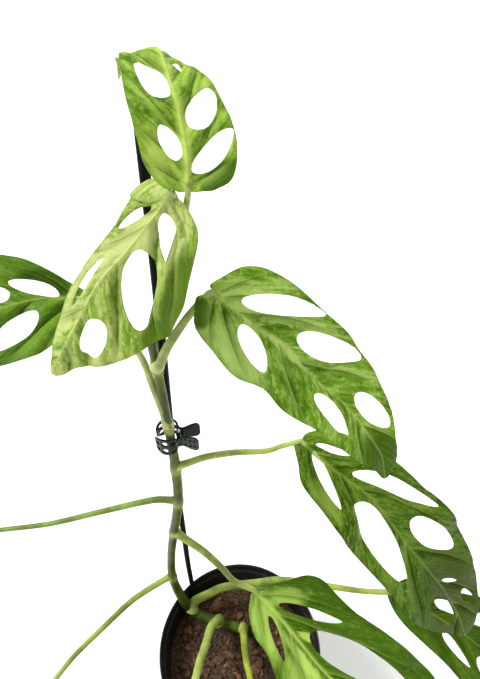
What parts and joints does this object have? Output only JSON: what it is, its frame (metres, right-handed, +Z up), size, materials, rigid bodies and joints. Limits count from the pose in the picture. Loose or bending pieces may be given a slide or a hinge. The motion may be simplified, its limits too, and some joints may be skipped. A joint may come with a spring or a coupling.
{
  "type": "potted climbing aroid",
  "caption": "Potted climbing plant with oval-windowed leaves on long petioles, on a slim stake in a round nursery pot, held by a small hinged butterfly clip.",
  "frame": {"origin": "middle of the pot's flat underside, on the floor", "axes": "+Z up along the pot, -Y towards the viewer of the picture, +X to the viewer's right"},
  "size_m": [0.5299, 0.2712, 0.5245],
  "materials": {
    "pot": "black satin plastic",
    "soil": "rough brown bark and peat",
    "stake": "black satin coating",
    "stem": "smooth green stem",
    "leaf_top": "waxy yellow-green leaf",
    "leaf_pale": "waxy pale leaf",
    "leaf_far_left": "waxy dark green leaf",
    "leaf_right": "waxy bright green leaf",
    "leaf_lower_right": "waxy dark green leaf",
    "leaf_left": "waxy green leaf",
    "leaf_over_pot": "glossy variegated leaf",
    "leaf_low_left": "waxy green leaf",
    "leaf_low_right": "waxy olive green leaf",
    "leaf_front_left": "waxy green leaf",
    "leaf_front_right": "waxy green leaf",
    "clip_front": "dark green glossy plastic",
    "clip_back": "dark green glossy plastic",
    "clip_pin": "plain steel pin",
    "clip_spring": "bright spring wire"
  },
  "bodies": {
    "root": {"pot": "pot", "soil": "soil", "stake": "stake", "stem": "stem", "leaf_top": "leaf_top", "leaf_pale": "leaf_pale", "leaf_far_left": "leaf_far_left", "leaf_right": "leaf_right", "leaf_lower_right": "leaf_lower_right", "leaf_left": "leaf_left", "leaf_over_pot": "leaf_over_pot", "leaf_low_left": "leaf_low_left", "leaf_low_right": "leaf_low_right", "leaf_front_left": "leaf_front_left", "leaf_front_right": "leaf_front_right", "clip_back": "clip_back", "clip_pin": "clip_pin", "clip_spring": "clip_spring"},
    "clip_jaw": {"clip_front": "clip_front"}
  },
  "joints": [
    {"name": "clip_open", "type": "hinge", "parent": "root", "child": "clip_jaw", "pos_m": [-0.0328, 0.0444, 0.3458], "axis": [0, 0, 1], "range_deg": [0, 38], "stiffness_Nm_per_rad": 0.002, "springref_deg": -17.19}
  ]
}
